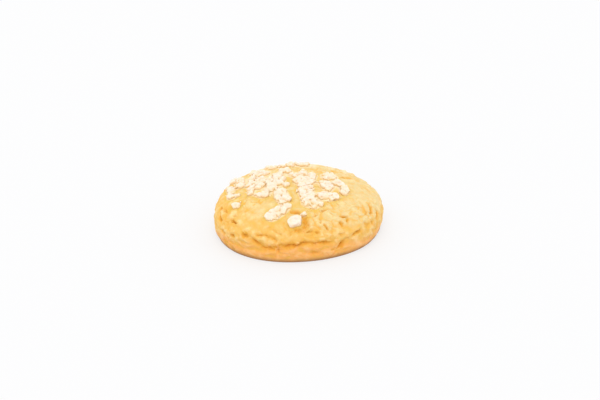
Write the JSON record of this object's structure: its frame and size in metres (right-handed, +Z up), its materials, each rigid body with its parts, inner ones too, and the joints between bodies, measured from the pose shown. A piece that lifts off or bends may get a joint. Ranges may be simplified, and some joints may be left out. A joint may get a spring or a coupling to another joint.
{
  "type": "ginger biscuit",
  "caption": "Round domed soft biscuit with a flat base, a crust split in a ring round its side, and lumps of white nib sugar baked onto its crown.",
  "frame": {"origin": "middle of the bounding box at the flat base, which the biscuit lies on", "axes": "+Z up through the crown, the biscuit's smallest size; +X to the right and -Y to the front, where the largest nib of sugar and the longest crack are"},
  "size_m": [0.0648, 0.065, 0.0201],
  "materials": {
    "dough": "matt baked crust",
    "sugar": "matt white nib sugar"
  },
  "bodies": {
    "root": {"biscuit": "dough"}
  },
  "joints": []
}
